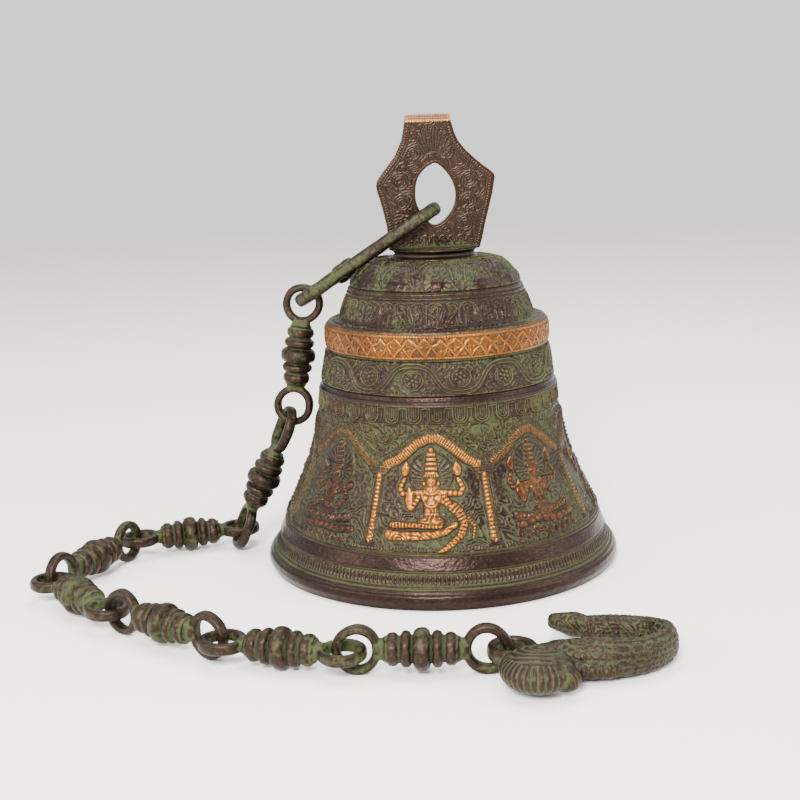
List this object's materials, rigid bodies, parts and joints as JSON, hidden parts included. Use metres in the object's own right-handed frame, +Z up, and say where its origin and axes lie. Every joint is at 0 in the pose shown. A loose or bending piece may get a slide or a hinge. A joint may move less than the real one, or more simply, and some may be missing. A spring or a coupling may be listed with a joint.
{
  "type": "hanging temple bell",
  "caption": "Cast temple bell with relief bands, pierced crown lug, swinging clapper and a chain of baluster links ending in a serpent hook.",
  "frame": {"origin": "under the middle of the whole object's box, on the surface it stands on; the bell's axis is at X +0.0722, Y +0.0704", "axes": "+Z up along the bell's axis; +X to the right of the bell's front, along the longest side; +Y towards the back"},
  "size_m": [0.3934, 0.3827, 0.301],
  "materials": {
    "dark_bronze": "dark antique cast bronze with green in the recesses and brass showing on worn edges",
    "brown_bronze": "reddish brown antique bronze, engraved",
    "green_patina_bronze": "antique bronze with moss green patina in the grooves",
    "dark_iron": "dark forged iron, lightly rusted"
  },
  "bodies": {
    "bell": {"bell_body": "dark_bronze", "crown_lug": "brown_bronze", "clapper_staple": "dark_iron", "clapper_washer": "dark_iron", "clapper_nut": "dark_iron"},
    "clapper_ring_body": {"clapper_ring": "dark_iron"},
    "clapper": {"clapper_rod": "dark_iron", "clapper_bob": "dark_bronze", "bob_pin": "dark_iron"},
    "stirrup": {"stirrup_link": "green_patina_bronze"},
    "link_1": {"chain_link_1": "green_patina_bronze"},
    "link_2": {"chain_link_2": "green_patina_bronze"},
    "link_3": {"chain_link_3": "green_patina_bronze"},
    "link_4": {"chain_link_4": "green_patina_bronze"},
    "link_5": {"chain_link_5": "green_patina_bronze"},
    "link_6": {"chain_link_6": "green_patina_bronze"},
    "link_7": {"chain_link_7": "green_patina_bronze"},
    "link_8": {"chain_link_8": "green_patina_bronze"},
    "hook": {"chain_hook": "green_patina_bronze"}
  },
  "joints": [
    {"name": "clapper_swing", "type": "hinge", "parent": "bell", "child": "clapper_ring_body", "pos_m": [0.0722, 0.0704, 0.178], "axis": [0, 1, 0], "range_deg": [-22, 22]},
    {"name": "clapper_cross_swing", "type": "hinge", "parent": "clapper_ring_body", "child": "clapper", "pos_m": [0.0722, 0.0704, 0.158], "axis": [1, 0, 0], "range_deg": [-22, 22]},
    {"name": "stirrup_swing", "type": "hinge", "parent": "bell", "child": "stirrup", "pos_m": [0.0727, 0.0664, 0.2385], "axis": [0.1635, 0.9865, 0], "range_deg": [0, 88]},
    {"name": "link_1_swing", "type": "hinge", "parent": "stirrup", "child": "link_1", "pos_m": [-0.0178, 0.0814, 0.1795], "axis": [-0.1635, -0.9865, 0], "range_deg": [-100, 0]},
    {"name": "link_2_swing", "type": "hinge", "parent": "link_1", "child": "link_2", "pos_m": [-0.02981, 0.08342, 0.10162], "axis": [-0.2232, 0.9578, 0.1809], "range_deg": [0, 90]},
    {"name": "link_3_yaw", "type": "hinge", "parent": "link_2", "child": "link_3", "pos_m": [-0.0733, 0.1016, 0.0122], "axis": [0, 0, -1], "range_deg": [-20, 80]},
    {"name": "link_4_yaw", "type": "hinge", "parent": "link_3", "child": "link_4", "pos_m": [-0.14401, 0.08265, 0.014], "axis": [0, 0, 1], "range_deg": [-90, 10]},
    {"name": "link_5_yaw", "type": "hinge", "parent": "link_4", "child": "link_5", "pos_m": [-0.18469, -0.00264, 0.0122], "axis": [0, 0, -1], "range_deg": [-10, 100]},
    {"name": "link_6_yaw", "type": "hinge", "parent": "link_5", "child": "link_6", "pos_m": [-0.13365, -0.06136, 0.014], "axis": [0, 0, 1], "range_deg": [-80, 10]},
    {"name": "link_7_yaw", "type": "hinge", "parent": "link_6", "child": "link_7", "pos_m": [-0.05818, -0.11823, 0.0122], "axis": [0, 0, -1], "range_deg": [-15, 80]},
    {"name": "link_8_yaw", "type": "hinge", "parent": "link_7", "child": "link_8", "pos_m": [0.00602, -0.13909, 0.014], "axis": [0, 0, 1], "range_deg": [-80, 20]},
    {"name": "hook_yaw", "type": "hinge", "parent": "link_8", "child": "hook", "pos_m": [0.10029, -0.14568, 0], "axis": [0, 0, -1], "range_deg": [-60, 50]}
  ]
}
